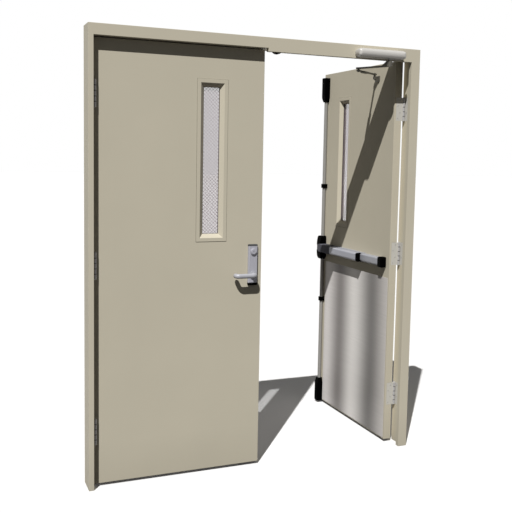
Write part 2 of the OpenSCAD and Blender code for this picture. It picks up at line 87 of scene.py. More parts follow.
def new_finish(name, roughness, metallic=0.0):
    """An empty material, its tree, its shader and its Object coordinates."""
    finish = bpy.data.materials.new(name)
    finish.use_nodes = True
    tree = finish.node_tree
    shader = tree.nodes["Principled BSDF"]
    shader.inputs["Roughness"].default_value = roughness
    shader.inputs["Metallic"].default_value = metallic
    place = tree.nodes.new("ShaderNodeTexCoord").outputs["Object"]
    return finish, tree, shader, place


def baked_enamel(name, colour):
    """Baked enamel on steel sheet: an even satin colour with a faint cloud, a little dust at
    its foot, and orange peel, drawn 5 mm across so that it shows."""
    finish, tree, shader, place = new_finish(name, 0.45)
    shader.inputs["Specular IOR Level"].default_value = 0.03
    cloud = add(tree, "ShaderNodeTexNoise", {"Vector": place, "Scale": per_mm(380), "Detail": 3.0})
    tint = add(tree, "ShaderNodeMixRGB", {
        "Fac": cloud.outputs["Fac"],
        "Color1": linear(colour, 1.04), "Color2": linear(colour, 0.95),
    })
    height = add(tree, "ShaderNodeSeparateXYZ", {"Vector": place})
    dust = add(tree, "ShaderNodeMapRange", {
        "Value": height.outputs["Z"], "From Min": 0.0, "From Max": DUST_TOP,
        "To Min": 0.22, "To Max": 0.0,
    })
    foot = add(tree, "ShaderNodeMixRGB", {
        "Fac": dust.outputs["Result"], "Color1": tint.outputs["Color"], "Color2": linear(DUST),
    })
    tree.links.new(foot.outputs["Color"], shader.inputs["Base Color"])
    gloss = add(tree, "ShaderNodeMapRange", {
        "Value": cloud.outputs["Fac"], "To Min": 0.40, "To Max": 0.54,
    })
    tree.links.new(gloss.outputs["Result"], shader.inputs["Roughness"])
    peel = add(tree, "ShaderNodeTexNoise", {"Vector": place, "Scale": per_mm(5), "Detail": 2.0})
    skin = add(tree, "ShaderNodeBump", {
        "Height": peel.outputs["Fac"], "Strength": 0.10, "Distance": 0.0004,
    })
    tree.links.new(skin.outputs["Normal"], shader.inputs["Normal"])
    return finish


def flattened(shape):
    """Merges the flat triangles of a shape into whole faces."""
    bmesh.ops.remove_doubles(shape, verts=shape.verts, dist=WELD)
    bmesh.ops.dissolve_limit(
        shape, angle_limit=FLAT, verts=shape.verts, edges=shape.edges,
    )
    return shape


def settled(piece):
    """The piece with its modifiers made part of its mesh."""
    graph = bpy.context.evaluated_depsgraph_get()
    mesh = bpy.data.meshes.new_from_object(piece.evaluated_get(graph))
    piece.modifiers.clear()
    piece.data = mesh
    return piece


def on_stage(name, shape):
    """A new object that holds a shape."""
    mesh = bpy.data.meshes.new(name)
    shape.to_mesh(mesh)
    shape.free()
    piece = bpy.data.objects.new(name, mesh)
    bpy.context.scene.collection.objects.link(piece)
    return piece


def closed_copy(node):
    """A closed copy of a CAD node, its flat faces whole."""
    shape = bmesh.new()
    shape.from_mesh(frame["nodes"][node].data)
    return on_stage(node + "_finished", flattened(shape))


def shaded(piece, corner=50):
    """Shades a piece's flats flat and its curves smooth, with a crease at each sharper corner."""
    piece.data.polygons.foreach_set("use_smooth", [True] * len(piece.data.polygons))
    piece.data.set_sharp_from_angle(angle=math.radians(corner))
    shading = piece.modifiers.new("flat_faces", "WEIGHTED_NORMAL")
    shading.keep_sharp = True
    shading.weight = 100
    return settled(piece)


def eased(piece, width, segments=2, corner=30):
    """Rounds a piece's edges by width."""
    shape = bmesh.new()
    shape.from_mesh(piece.data)
    flattened(shape)
    edges = [
        edge for edge in shape.edges
        if len(edge.link_faces) == 2 and edge.calc_face_angle() > math.radians(corner)
    ]
    bmesh.ops.bevel(
        shape, geom=edges, offset=width, offset_type="OFFSET", segments=segments,
        profile=0.5, affect="EDGES", clamp_overlap=True,
    )
    shape.to_mesh(piece.data)
    shape.free()
    return shaded(piece)


def fitted(piece, body, slot, finish, *nodes):
    """Gives a piece its finish, hangs it on a body, and lets it stand for the nodes; its slot is not used."""
    piece.data.materials.clear()
    piece.data.materials.append(finish)
    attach(piece, body)
    if nodes:
        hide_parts(*nodes)
    return piece


frame_enamel = baked_enamel("baked_enamel_frame", FRAME_BEIGE)
welded_frame = closed_copy("header")
welded_frame.name = "welded_frame"
jamb_copies = [closed_copy("left_jamb"), closed_copy("right_jamb")]
for jamb_copy in jamb_copies:
    weld = welded_frame.modifiers.new("weld", "BOOLEAN")
    weld.operation = "UNION"
    weld.solver = "EXACT"
    weld.object = jamb_copy
settled(welded_frame)
for jamb_copy in jamb_copies:
    bpy.data.objects.remove(jamb_copy)
eased(welded_frame, FRAME_FOLD)
fitted(welded_frame, "frame", "frame_paint", frame_enamel, "left_jamb", "right_jamb", "header")


# ---- Leaf slabs ----
# Each leaf is two steel face sheets bonded to a stiffened core, its edges folded
# and seamed, in the same enamel as the frame but a shade darker.

LEAF_BEIGE = "#b6af9d"
LEAF_FOLD = 0.0016
SIDES = ("left", "right")
slab_low, slab_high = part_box("left_slab")
LEAF_W = slab_high.x - slab_low.x
LEAF_T = slab_high.y - slab_low.y
LEAF_LOW = slab_low.z


def body_of(node):
    """The CAD body that a node belongs to."""
    bodies = frame["record"]["behaviour"]["bodies"]
    return next(body for body, members in bodies.items() if node in members)


def refined(node, slot, finish, width, segments=2):
    """A CAD node's shape with its edges eased, in its finish."""
    return fitted(eased(closed_copy(node), width, segments), body_of(node), slot, finish, node)


leaf_enamel = baked_enamel("baked_enamel_leaf", LEAF_BEIGE)
for side in SIDES:
    refined(side + "_slab", "leaf_paint", leaf_enamel, LEAF_FOLD)


# ---- Hinges ----
# Heavy five-knuckle butts: two rolled steel plates on a button-tipped pin, with a
# bearing between each two knuckles, painted dark as shade between them. The plates are let
# flush into jamb and leaf and held by countersunk cross-head screws.

HINGE_STEEL = "#bcb9b1"
HINGE_H = 0.127
HINGE_EDGE = 0.0014
PIN_EDGE = 0.0008
KNUCKLES = 5
BARREL_R = 0.00758
BARREL_SIDES = 24
BEARING_H = 0.005
HINGE_GAP = 0.005
PIN_TO_PLATE = 0.006
SCREW_R = 0.0042
SCREW_H = 0.0008
SCREW_SIDES = 20
# Shares of a screw head's radius: its top, and its recess's length and width.
HEAD_TOP, RECESS_L, RECESS_W = 0.82, 1.1, 0.26
# Screws of one plate: in from the plate's pin edge, and up from its middle.
HINGE_SCREWS = ((0.010, 0.050), (0.024, 0.018), (0.010, -0.018), (0.024, -0.050))


def brushed_steel(name, colour, grain, metallic=0.06, roughness=0.4):
    """Brushed steel: dull and bright streaks along the grain's axes, 120 mm long and drawn 1 mm
    wide so that they show."""
    finish, tree, shader, place = new_finish(name, roughness, metallic)
    shader.inputs["Specular IOR Level"].default_value = 0.3
    stretch = [per_mm(120 if axis in grain else 1) for axis in "xyz"]
    lines = add(tree, "ShaderNodeMapping", {"Vector": place, "Scale": stretch})
    streak = add(tree, "ShaderNodeTexNoise", {
        "Vector": lines.outputs["Vector"], "Scale": 1.0, "Detail": 3.0,
    })
    tint = add(tree, "ShaderNodeMixRGB", {
        "Fac": streak.outputs["Fac"],
        "Color1": linear(colour, 1.12), "Color2": linear(colour, 0.84),
    })
    tree.links.new(tint.outputs["Color"], shader.inputs["Base Color"])
    gloss = add(tree, "ShaderNodeMapRange", {
        "Value": streak.outputs["Fac"], "To Min": roughness - 0.08, "To Max": roughness + 0.12,
    })
    tree.links.new(gloss.outputs["Result"], shader.inputs["Roughness"])
    scratch = add(tree, "ShaderNodeBump", {
        "Height": streak.outputs["Fac"], "Strength": 0.12, "Distance": 0.0002,
    })
    tree.links.new(scratch.outputs["Normal"], shader.inputs["Normal"])
    return finish


def new_group(name, sizes):
    """An empty geometry tree whose inputs have those names and kinds, its start and its end."""
    tree = bpy.data.node_groups.new(name, "GeometryNodeTree")
    tree.interface.new_socket("Geometry", in_out="INPUT", socket_type="NodeSocketGeometry")
    for size, kind in sizes.items():
        tree.interface.new_socket(size, in_out="INPUT", socket_type="NodeSocket" + kind)
    tree.interface.new_socket("Geometry", in_out="OUTPUT", socket_type="NodeSocketGeometry")
    return tree, tree.nodes.new("NodeGroupInput").outputs, tree.nodes.new("NodeGroupOutput")


def close_group(tree, geometry, finish, end):
    """Ends a tree in Realize Instances and Set Material."""
    real = add(tree, "GeometryNodeRealizeInstances", {"Geometry": geometry})
    painted = add(tree, "GeometryNodeSetMaterial", {
        "Geometry": real.outputs[0], "Material": finish,
    })
    tree.links.new(painted.outputs[0], end.inputs[0])


def grown(name, tree, points, sizes):
    """The mesh that a tree makes on some points, with its sizes set by name."""
    mesh = bpy.data.meshes.new(name)
    mesh.from_pydata([tuple(p) for p in points], [], [])
    piece = bpy.data.objects.new(name, mesh)
    bpy.context.scene.collection.objects.link(piece)
    maker = piece.modifiers.new("maker", "NODES")
    maker.node_group = tree
    for item in tree.interface.items_tree:
        if item.in_out == "INPUT" and item.name in sizes:
            maker[item.identifier] = sizes[item.name]
    return settled(piece)


def screw_head_tree():
    """Countersunk heads with a cross recess, one on each point, their axes turned by Facing."""
    tree, sizes, end = new_group("screw_heads", {
        "Radius": "Float", "Height": "Float", "Facing": "Rotation", "Finish": "Material",
    })
    rim, arm, slot = (
        add(tree, "ShaderNodeMath", {0: sizes["Radius"], 1: share}, operation="MULTIPLY")
        for share in (HEAD_TOP, RECESS_L, RECESS_W)
    )
    head = add(tree, "GeometryNodeMeshCone", {
        "Vertices": SCREW_SIDES, "Radius Top": rim.outputs[0], "Radius Bottom": sizes["Radius"],
        "Depth": sizes["Height"],
    })
    lift = add(tree, "ShaderNodeCombineXYZ", {"Z": sizes["Height"]})
    crossed = add(
        tree, "GeometryNodeMeshBoolean", {"Mesh 1": head.outputs["Mesh"]}, operation="DIFFERENCE",
    )
    for wide, narrow in ((arm, slot), (slot, arm)):
        size = add(tree, "ShaderNodeCombineXYZ", {
            "X": wide.outputs[0], "Y": narrow.outputs[0], "Z": sizes["Height"],
        })
        bar = add(tree, "GeometryNodeMeshCube", {"Size": size.outputs[0]})
        lifted = add(tree, "GeometryNodeTransform", {
            "Geometry": bar.outputs["Mesh"], "Translation": lift.outputs[0],
        })
        tree.links.new(lifted.outputs[0], crossed.inputs["Mesh 2"])
    heads = add(tree, "GeometryNodeInstanceOnPoints", {
        "Points": sizes["Geometry"], "Instance": crossed.outputs["Mesh"],
        "Rotation": sizes["Facing"],
    })
    close_group(tree, heads.outputs["Instances"], sizes["Finish"], end)
    return tree


SCREW_HEADS = screw_head_tree()
# Zinc-plated screws: brighter and smoother than the plates they hold.
screw_steel = brushed_steel("zinc_plated_screws", "#a8a6a0", "z", roughness=0.32)


def screwed(name, body, points, way):
    """Hinge screws on some points, their heads standing out along way."""
    facing = way.to_track_quat("Z", "Y").to_euler()
    heads = grown(name, SCREW_HEADS, points, {
        "Radius": SCREW_R, "Height": SCREW_H, "Facing": facing, "Finish": screw_steel,
    })
    return fitted(heads, body, "hinge_steel", screw_steel)


def barrel_tree():
    """Upright cylinders of that Radius and Height, one on each point."""
    tree, sizes, end = new_group("hinge_barrels", {
        "Radius": "Float", "Height": "Float", "Finish": "Material",
    })
    drum = add(tree, "GeometryNodeMeshCylinder", {
        "Vertices": BARREL_SIDES, "Radius": sizes["Radius"], "Depth": sizes["Height"],
    })
    drums = add(tree, "GeometryNodeInstanceOnPoints", {
        "Points": sizes["Geometry"], "Instance": drum.outputs["Mesh"],
    })
    close_group(tree, drums.outputs["Instances"], sizes["Finish"], end)
    return tree


BARRELS = barrel_tree()
# Plating is pale and bright, the worn pins and knuckles greyer, and the bearings dark as painted shade between the
# knuckles.
hinge_steel = brushed_steel("plated_hinge_steel", HINGE_STEEL, "z")
refined("hinge_frame_plates", "hinge_steel", hinge_steel, HINGE_EDGE, segments=3)
pin_steel = brushed_steel("worn_pin_steel", "#a09e9d", "z", roughness=0.4)
bearing_painted_shade = brushed_steel("bearing_steel_painted_shade", "#5a5856", "z", roughness=0.5)
refined("hinge_pins", "hinge_steel", pin_steel, PIN_EDGE)
low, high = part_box("left_hinge_door_plates")
hinge_levels = (low.z + HINGE_H / 2, (low.z + high.z) / 2, high.z - HINGE_H / 2)
frame_middle = sum(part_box("header"), Vector()) / 2
leaf_pin = {
    joint["child"]: Vector(joint["pos_m"]) for joint in frame["joints"]
    if joint["child"].endswith("leaf")
}


def leaf_point(side, u, v, z):
    """A point of a leaf at rest: u from its hinge edge, v from its pull face, z from its foot."""
    low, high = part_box(side + "_slab")
    if side == "left":
        return Vector((low.x + u, low.y + v, low.z + z))
    return Vector((high.x - v, low.y + u, low.z + z))


def leaf_way(side, u, v, z):
    """A direction on a leaf, in the same measures."""
    return Vector((u, v, z)) if side == "left" else Vector((-v, u, z))


def half_turned(side, point):
    """A point of the frame's left half, or its twin on the right."""
    if side == "left":
        return point
    return Vector((2 * frame_middle.x - point.x, 2 * frame_middle.y - point.y, point.z))


for side in SIDES:
    refined(side + "_hinge_door_plates", "hinge_steel", hinge_steel, HINGE_EDGE, segments=3)
    door_screws = [
        leaf_point(side, 0, v, z - LEAF_LOW + dz) for z in hinge_levels for v, dz in HINGE_SCREWS
    ]
    screwed(side + "_hinge_door_screws", side + "_leaf", door_screws, leaf_way(side, -1, 0, 0))
    plate_x, plate_y = slab_low.x - HINGE_GAP, leaf_pin["left_leaf"].y + PIN_TO_PLATE
    jamb_screws = [
        half_turned(side, Vector((plate_x, plate_y + v, z + dz)))
        for z in hinge_levels for v, dz in HINGE_SCREWS
    ]
    way = Vector((1 if side == "left" else -1, 0, 0))
    screwed(side + "_hinge_jamb_screws", "frame", jamb_screws, way)
    pin = leaf_pin[side + "_leaf"]
    pitch = HINGE_H / KNUCKLES
    for part, count, tall, finish in (
        ("knuckles", KNUCKLES, pitch - BEARING_H, pin_steel),
        ("bearings", KNUCKLES - 1, BEARING_H, bearing_painted_shade),
    ):
        spots = [
            Vector((pin.x, pin.y, z + pitch * (k - (count - 1) / 2)))
            for z in hinge_levels for k in range(count)
        ]
        drums = grown("_".join((side, "hinge", part)), BARRELS, spots, {
            "Radius": BARREL_R, "Height": tall, "Finish": finish,
        })
        fitted(shaded(drums), "frame", "hinge_steel", finish)


# ---- Vision lites ----
# A pressed-steel frame on each face, mitred and screwed through the leaf, holds
# wired fire glass between two strips of black glazing tape. A thin dark line of
# painted shade runs round the joint between the frame and the leaf.

TAPE_W = 0.004
TAPE_T = 0.0018
WIRE_PITCH = 0.0125
# The wire is 0.5 mm thick, and is drawn 1.6 mm thick so that it shows.
WIRE_R = 0.0008
# How far the mesh stops short of the pane, all told.
WIRE_SHORT = 0.002
# The painted shade of the joint round each lite frame: its width, and its thickness.
JOINT_SHADE_W = 0.0022
JOINT_SHADE_T = JOINT_SHADE_W / 4
# The frame's section, from its flat rim down the splay to the glass and back behind:
# each point is so many mm in from the rim's outer edge, and so many down from its face.
LITE_PROFILE = [
    (1.6, 2.1), (1.6, 0.5), (2.0, 0), (19.4, 0), (20.4, 0.5), (21.6, 1.7), (38.4, 18.4),
    (39.4, 19.6), (39.8, 21.2), (38.4, 21.2), (37.4, 19.6), (20.4, 3.4), (19, 2.1),
]
LITE_BAND = 0.0385
LITE_PROUD = 0.002
SPLAY_CORNER = 22


def across(side):
    """The axis that runs across a leaf."""
    return "x" if side == "left" else "y"


def lite_surround(side):
    """The steel frame on both faces of a leaf: its section, swept round the opening."""
    low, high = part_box(side + "_lite_frames")
    corner = leaf_point(side, 0, 0, 0)
    middle = ((low + high) / 2 - corner)["xy".index(across(side))]
    wide = max(high.x - low.x, high.y - low.y)
    tall = high.z - low.z
    height = (low.z + high.z) / 2 - corner.z
    shape = bmesh.new()
    for pull_face in (True, False):
        rings = []
        for inward, down in LITE_PROFILE:
            v = down / 1000 - LITE_PROUD
            v = v if pull_face else LEAF_T - v
            reach, rise = wide / 2 - inward / 1000, tall / 2 - inward / 1000
            rings.append([
                shape.verts.new(leaf_point(side, middle + i * reach, v, height + k * rise))
                for i, k in ((-1, -1), (1, -1), (1, 1), (-1, 1))
            ])
        for ring, after in zip(rings, rings[1:] + rings[:1]):
            for k in range(4):
                shape.faces.new((ring[k], ring[k - 1], after[k - 1], after[k]))
    bmesh.ops.recalc_face_normals(shape, faces=shape.faces)
    return shaded(on_stage(side + "_lite_surround", shape), SPLAY_CORNER)


for side in SIDES:
    surround = lite_surround(side)
    fitted(surround, side + "_leaf", "leaf_paint", leaf_enamel, side + "_lite_frames")


def wire_tree():
    """A diamond mesh of welded wire of radius Wire, cut to Width by Height out of a square
    grid of side Span with Count lines each way, and turned by Facing about Centre."""
    tree, sizes, end = new_group("glass_wires", {
        "Width": "Float", "Height": "Float", "Span": "Float", "Count": "Int", "Wire": "Float",
        "Centre": "Vector", "Facing": "Rotation", "Finish": "Material",
    })
    grid = add(tree, "GeometryNodeMeshGrid", {
        "Size X": sizes["Span"], "Size Y": sizes["Span"],
        "Vertices X": sizes["Count"], "Vertices Y": sizes["Count"],
    })
    turned = add(tree, "GeometryNodeTransform", {
        "Geometry": grid.outputs["Mesh"], "Rotation": (0, 0, math.radians(45)),
    })
    spot = add(tree, "ShaderNodeSeparateXYZ", {
        "Vector": tree.nodes.new("GeometryNodeInputPosition").outputs[0],
    })
    outside = []
    for axis, size in (("X", "Width"), ("Y", "Height")):
        away = add(tree, "ShaderNodeMath", {0: spot.outputs[axis]}, operation="ABSOLUTE")
        half = add(tree, "ShaderNodeMath", {0: sizes[size], 1: 0.5}, operation="MULTIPLY")
        outside.append(add(tree, "ShaderNodeMath", {
            0: away.outputs[0], 1: half.outputs[0],
        }, operation="GREATER_THAN"))
    either = add(tree, "ShaderNodeMath", {
        0: outside[0].outputs[0], 1: outside[1].outputs[0],
    }, operation="MAXIMUM")
    cut = add(tree, "GeometryNodeDeleteGeometry", {
        "Geometry": turned.outputs[0], "Selection": either.outputs[0],
    })
    lines = add(tree, "GeometryNodeMeshToCurve", {"Mesh": cut.outputs[0]})
    section = add(tree, "GeometryNodeCurvePrimitiveCircle", {
        "Resolution": 4, "Radius": sizes["Wire"],
    })
    wires = add(tree, "GeometryNodeCurveToMesh", {
        "Curve": lines.outputs[0], "Profile Curve": section.outputs["Curve"],
    })
    placed = add(tree, "GeometryNodeTransform", {
        "Geometry": wires.outputs[0], "Translation": sizes["Centre"], "Rotation": sizes["Facing"],
    })
    close_group(tree, placed.outputs[0], sizes["Finish"], end)
    return tree


def tape_tree():
    """A strip of tape round a rectangle, turned by Facing about Centre."""
    tree, sizes, end = new_group("glazing_tape", {
        "Width": "Float", "Height": "Float", "Tape": "Float", "Thickness": "Float",
        "Centre": "Vector", "Facing": "Rotation", "Finish": "Material",
    })
    path = add(tree, "GeometryNodeCurvePrimitiveQuadrilateral", {
        "Width": sizes["Width"], "Height": sizes["Height"],
    })
    section = add(tree, "GeometryNodeCurvePrimitiveQuadrilateral", {
        "Width": sizes["Tape"], "Height": sizes["Thickness"],
    })
    strip = add(tree, "GeometryNodeCurveToMesh", {
        "Curve": path.outputs["Curve"], "Profile Curve": section.outputs["Curve"],
        "Fill Caps": True,
    })
    placed = add(tree, "GeometryNodeTransform", {
        "Geometry": strip.outputs[0], "Translation": sizes["Centre"], "Rotation": sizes["Facing"],
    })
    close_group(tree, placed.outputs[0], sizes["Finish"], end)
    return tree


def wired_glass(name):
    """Cast wired glass: greyish, faintly rippled every 60 mm, clear enough to show its wires."""
    finish, tree, shader, place = new_finish(name, 0.16)
    ripple = add(tree, "ShaderNodeTexNoise", {"Vector": place, "Scale": per_mm(60), "Detail": 1.0})
    tint = add(tree, "ShaderNodeMixRGB", {
        "Fac": ripple.outputs["Fac"], "Color1": linear("#82737a"), "Color2": linear("#75676e"),
    })
    tree.links.new(tint.outputs["Color"], shader.inputs["Base Color"])
    shader.inputs["Alpha"].default_value = 0.28
    wave = add(tree, "ShaderNodeBump", {
        "Height": ripple.outputs["Fac"], "Strength": 0.15, "Distance": 0.001,
    })
    tree.links.new(wave.outputs["Normal"], shader.inputs["Normal"])
    return finish


def foam_tape(name):
    """Black closed-cell glazing tape: dull, with a fine grain of cells drawn 1.5 mm across."""
    finish, tree, shader, place = new_finish(name, 0.85)
    cells = add(tree, "ShaderNodeTexVoronoi", {"Vector": place, "Scale": per_mm(1.5)})
    tint = add(tree, "ShaderNodeMixRGB", {
        "Fac": cells.outputs["Distance"], "Color1": linear("#15140f"), "Color2": linear("#2b2a24"),
    })
    tree.links.new(tint.outputs["Color"], shader.inputs["Base Color"])
    return finish


glass = wired_glass("cast_wired_glass")
tape = foam_tape("black_glazing_tape")
# Painted shade of the joint between frame and leaf: a thin dark line round the frame.
joint_shade = baked_enamel("painted_joint_shade", "#57534a")
# Bright wire, dulled by the glass round it.
bright_wire = brushed_steel("bright_glass_wire", "#9c8d92", "z", roughness=0.45)
WIRES, TAPE = wire_tree(), tape_tree()
for side in SIDES:
    fitted(frame["nodes"][side + "_lite_glass"], side + "_leaf", "lite_glass", glass)
    low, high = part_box(side + "_lite_glass")
    centre = (low + high) / 2
    wide, tall = max(high.x - low.x, high.y - low.y), high.z - low.z
    thick = min(high.x - low.x, high.y - low.y)
    facing = (math.radians(90), 0, 0 if side == "left" else math.radians(90))
    # Enough lines each way for the turned grid to cover the pane, with one to spare.
    count = math.ceil((wide + tall) / math.sqrt(2) / WIRE_PITCH) + 2
    fitted(grown(side + "_glass_wires", WIRES, [centre], {
        "Width": wide - WIRE_SHORT, "Height": tall - WIRE_SHORT,
        "Span": (count - 1) * WIRE_PITCH, "Count": count,
        "Wire": WIRE_R, "Centre": centre, "Facing": facing, "Finish": bright_wire,
    }), side + "_leaf", "lite_glass", bright_wire)
    low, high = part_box(side + "_lite_frames")
    around = max(high.x - low.x, high.y - low.y)
    to_tape = leaf_way(side, 0, thick / 2 + TAPE_T / 2, 0)
    to_skin = leaf_way(side, 0, LEAF_T / 2, 0)
    for face, way in (("pull", -1), ("push", 1)):
        fitted(grown("_".join((side, face, "glazing_tape")), TAPE, [centre], {
            "Width": around - 2 * LITE_BAND, "Height": high.z - low.z - 2 * LITE_BAND,
            "Tape": TAPE_W, "Thickness": TAPE_T, "Centre": centre + way * to_tape,
            "Facing": facing, "Finish": tape,
        }), side + "_leaf", "black_trim", tape)
        # A thin dark line of painted shade where the frame meets the leaf.
        fitted(grown("_".join((side, face, "joint_shade_line")), TAPE, [centre], {
            "Width": around - JOINT_SHADE_W, "Height": high.z - low.z - JOINT_SHADE_W,
            "Tape": JOINT_SHADE_W, "Thickness": JOINT_SHADE_T, "Centre": centre + way * to_skin,
            "Facing": facing, "Finish": joint_shade,
        }), side + "_leaf", "leaf_paint", joint_shade)


# ---- Lever trim ----
# A die-cast escutcheon faced in satin stainless steel, with a rim cylinder above and a
# bar lever below, its grip slightly oval. A black cap closes each end: the top one painted
# dark grey as painted light from above, the foot one deepened as painted shadow of the lever.

# The foot cap is deeper than the top one, its extra depth a painted shadow of the lever.
CAP_H = {"top": 0.009, "bottom": 0.014}
CAP_PROUD = 0.0004
CAP_EDGE = 0.0005
TRIM_EDGE = 0.0006
LEVER_SLIM = 0.8


def moulded_black(name, colour="#020202", roughness=0.55):
    """Moulded black ABS: near black and matt, with a fine spark-eroded grain drawn 1.5 mm
    across so that it shows."""
    finish, tree, shader, place = new_finish(name, roughness)
    grain = add(tree, "ShaderNodeTexNoise", {"Vector": place, "Scale": per_mm(1.5), "Detail": 2.0})
    tint = add(tree, "ShaderNodeMixRGB", {
        "Fac": grain.outputs["Fac"], "Color1": linear(colour, 0.7), "Color2": linear(colour, 1.6),
    })
    tree.links.new(tint.outputs["Color"], shader.inputs["Base Color"])
    shader.inputs["Specular IOR Level"].default_value = 0.01
    texture = add(tree, "ShaderNodeBump", {
        "Height": grain.outputs["Fac"], "Strength": 0.2, "Distance": 0.0003,
    })
    tree.links.new(texture.outputs["Normal"], shader.inputs["Normal"])
    return finish


def end_cap(node, name, end):
    """The top or bottom end of a CAD node's shape, grown a little, as a thin cap over it."""
    piece = closed_copy(node)
    piece.name = name
    low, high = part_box(node)
    height, away = (high.z - CAP_H[end], 1) if end == "top" else (low.z + CAP_H[end], -1)
    shape = bmesh.new()
    shape.from_mesh(piece.data)
    middle = (low + high) / 2
    cut = bmesh.ops.bisect_plane(
        shape, geom=shape.verts[:] + shape.edges[:] + shape.faces[:],
        plane_co=(0, 0, height), plane_no=(0, 0, away), clear_inner=True,
    )
    rim = [edge for edge in cut["geom_cut"] if isinstance(edge, bmesh.types.BMEdge)]
    bmesh.ops.holes_fill(shape, edges=rim)
    size = high - low
    bmesh.ops.translate(shape, verts=shape.verts, vec=-middle)
    bmesh.ops.scale(shape, verts=shape.verts, vec=[1 + 2 * CAP_PROUD / s for s in size])
    bmesh.ops.translate(shape, verts=shape.verts, vec=middle)
    shape.to_mesh(piece.data)
    shape.free()
    return eased(piece, CAP_EDGE)


def slimmed(piece, side):
    """A lever pressed flatter towards its leaf, so that its grip is oval."""
    low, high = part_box(side + "_lever")
    axis, root = (1, high.y) if side == "left" else (0, low.x)
    for point in piece.data.vertices:
        point.co[axis] = root + LEVER_SLIM * (point.co[axis] - root)
    return piece


moulded = moulded_black("moulded_black_abs")
# Both caps are black mouldings: the upper one painted dark grey as painted light from above, the lower one black.
lit_and_shaded_cap_finishes = {"top": moulded_black("black_cap_painted_lit_grey", "#434343"), "bottom": moulded}
for side in SIDES:
    # Satin stainless steel, brushed up the escutcheon and along the lever: cool and even.
    satin_plate = brushed_steel(side + "_satin_stainless_plate", "#9e9da4", "z")
    satin_lever = brushed_steel(side + "_satin_stainless_lever", "#9d9da2", across(side))
    refined(side + "_escutcheon", "trim_steel", satin_plate, TRIM_EDGE)
    node = side + "_lever"
    lever = eased(slimmed(closed_copy(node), side), TRIM_EDGE)
    fitted(lever, body_of(node), "trim_steel", satin_lever, node)
    # Each cap in its finish: the top one painted light, the foot one painted shadow of the lever.
    for end in CAP_H:
        cap = end_cap(side + "_escutcheon", "_".join((side, "escutcheon", end, "cap")), end)
        fitted(cap, side + "_leaf", "black_trim", lit_and_shaded_cap_finishes[end])


# ---- Exit device ----
# A black moulded case over the latch gear, a grey chassis cover, and an anodised
# aluminium rail with its touch bar, closed by a black ring and end cap.

CASE_EDGE = 0.0012
COVER_EDGE = 0.0015
RAIL_EDGE = 0.0006
BAR_EDGE = 0.0008
MOULD_EDGE = 0.004


def anodised(name, side, colour):
    """Clear anodised extrusion: a soft grey sheen with fine die lines along the rail, drawn
    1 mm wide so that they show."""
    return brushed_steel(name, colour, across(side), roughness=0.36)


def cast_grey(name):
    """Die-cast cover in dark grey paint: matt, with a fine sprayed grain drawn 1.5 mm across."""
    return moulded_black(name, "#505056", 0.48)


chassis_grey = cast_grey("die_cast_dark_grey")
for side in SIDES:
    extrusion = anodised(side + "_anodised_rail", side, "#8f9095")
    touch = anodised(side + "_anodised_touch_bar", side, "#95969d")
    refined(side + "_exit_case", "black_trim", moulded, CASE_EDGE)
    refined(side + "_chassis_cover", "dark_cover", chassis_grey, COVER_EDGE)
    refined(side + "_exit_rail", "rail_aluminium", extrusion, RAIL_EDGE)
    refined(side + "_touch_bar", "rail_aluminium", touch, BAR_EDGE)
    refined(side + "_rail_caps", "black_trim", moulded, MOULD_EDGE, segments=3)


# ---- Vertical rods and latches ----
# Satin steel tubes run from the case to a latch at the top and at the bottom, in
# black moulded guides and covers screwed to the leaf.

ROD_EDGE = 0.0006

for side in SIDES:
    refined(side + "_latches", "black_trim", moulded, MOULD_EDGE, segments=3)
    refined(side + "_rod_guides", "black_trim", moulded, ROD_EDGE)
# Satin steel tube: smooth, so that it carries a bright line down its length.
rod_steel = brushed_steel("satin_rod_steel", "#84827e", "z", roughness=0.34)
for rod in ("left_rods", "right_top_rod", "right_bottom_rod"):
    refined(rod, "rod_steel", rod_steel, ROD_EDGE)


# ---- Armour plates ----
# A sheet of brushed stainless steel screwed over the foot of each push face, its
# colour painted with soft upright bands of light and dark as reflections.

PLATE_EDGE = 0.0004
# The painted reflection bands' colours, each at its share of the leaf's width from the hinge edge.
PAINTED_REFLECTION_BANDS = (
    (0.00, "#c6c1bc"), (0.21, "#7b7875"), (0.46, "#e0dcd7"),
    (0.665, "#888380"), (0.875, "#ded9d5"), (1.00, "#b5b1ac"),
)


